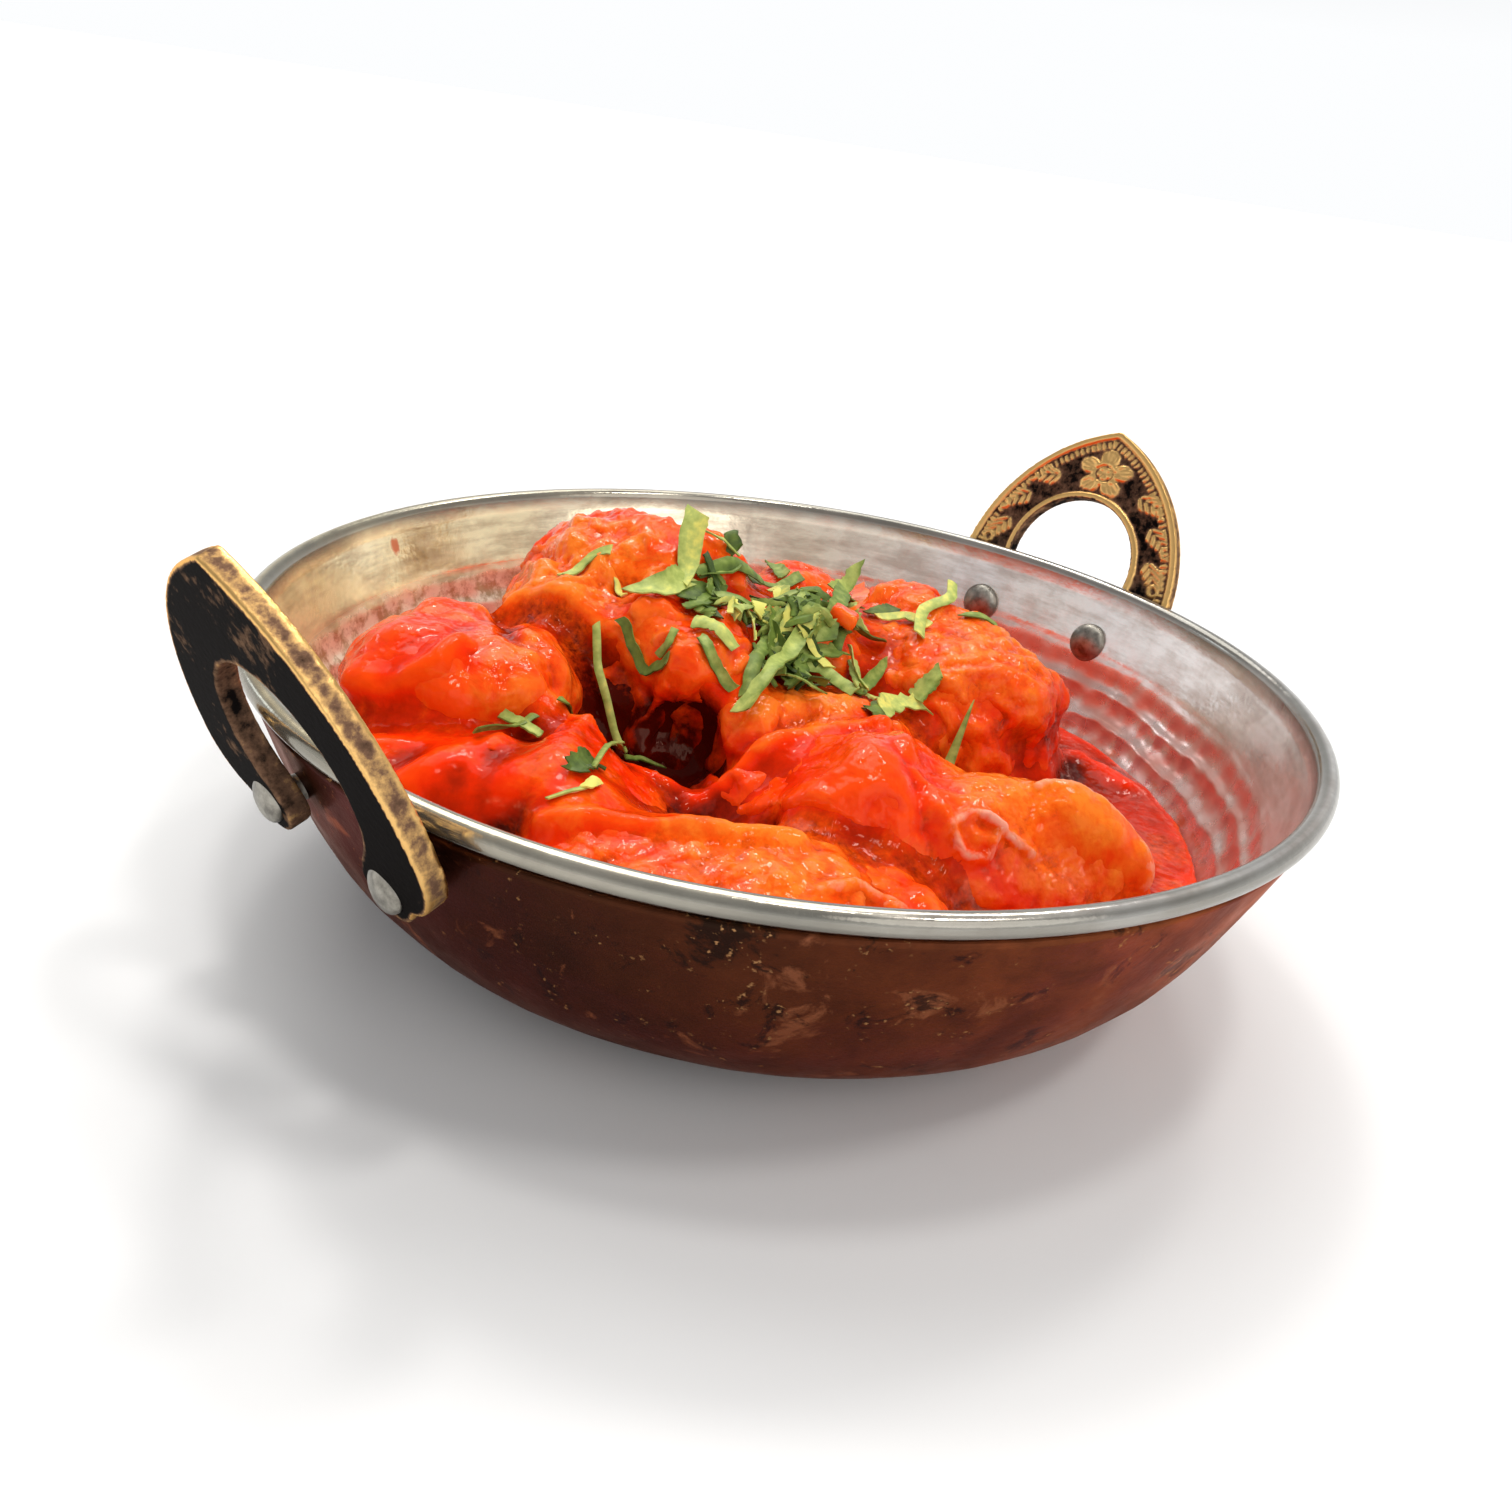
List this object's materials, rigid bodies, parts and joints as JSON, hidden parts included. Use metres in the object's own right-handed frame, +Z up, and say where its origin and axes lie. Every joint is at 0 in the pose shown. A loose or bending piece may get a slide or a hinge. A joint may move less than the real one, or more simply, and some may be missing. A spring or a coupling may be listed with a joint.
{
  "type": "chicken curry in a small metal karahi",
  "caption": "Pieces of chicken in thick orange-red sauce with cut coriander, heaped in a copper and steel karahi with pointed brass handles riveted to its sides.",
  "frame": {"origin": "centre of the bowl's flat base, on the surface it stands on", "axes": "+Z up along the bowl's axis; the two handles stand on the X axis"},
  "size_m": [0.1796, 0.155, 0.0642],
  "materials": {
    "steel": "bright stainless steel, hammered with rows of dimples inside",
    "copper": "dark aged copper under lacquer, scuffed",
    "brass": "cast brass with dark patina, worn bright on edges and raised ornament",
    "rivet_steel": "dull steel rivets",
    "sauce": "wet, thick orange-red sauce",
    "chicken": "cooked chicken coated in glossy orange-red sauce",
    "pepper": "wet red pepper",
    "coriander": "cut green coriander leaf"
  },
  "bodies": {
    "root": {"steel_bowl": "steel", "copper_jacket": "copper", "handle_left": "brass", "handle_right": "brass", "rivet_left_1": "rivet_steel", "rivet_left_2": "rivet_steel", "rivet_right_1": "rivet_steel", "rivet_right_2": "rivet_steel", "curry_sauce": "sauce", "chicken_peak": "chicken", "chicken_left": "chicken", "chicken_left_front": "chicken", "chicken_centre_left": "chicken", "chicken_wedge": "chicken", "chicken_middle": "chicken", "chicken_top": "chicken", "chicken_back": "chicken", "chicken_right": "chicken", "chicken_front_right": "chicken", "chicken_front": "chicken", "chicken_front_small": "chicken", "pepper_piece": "pepper"}
  },
  "joints": []
}
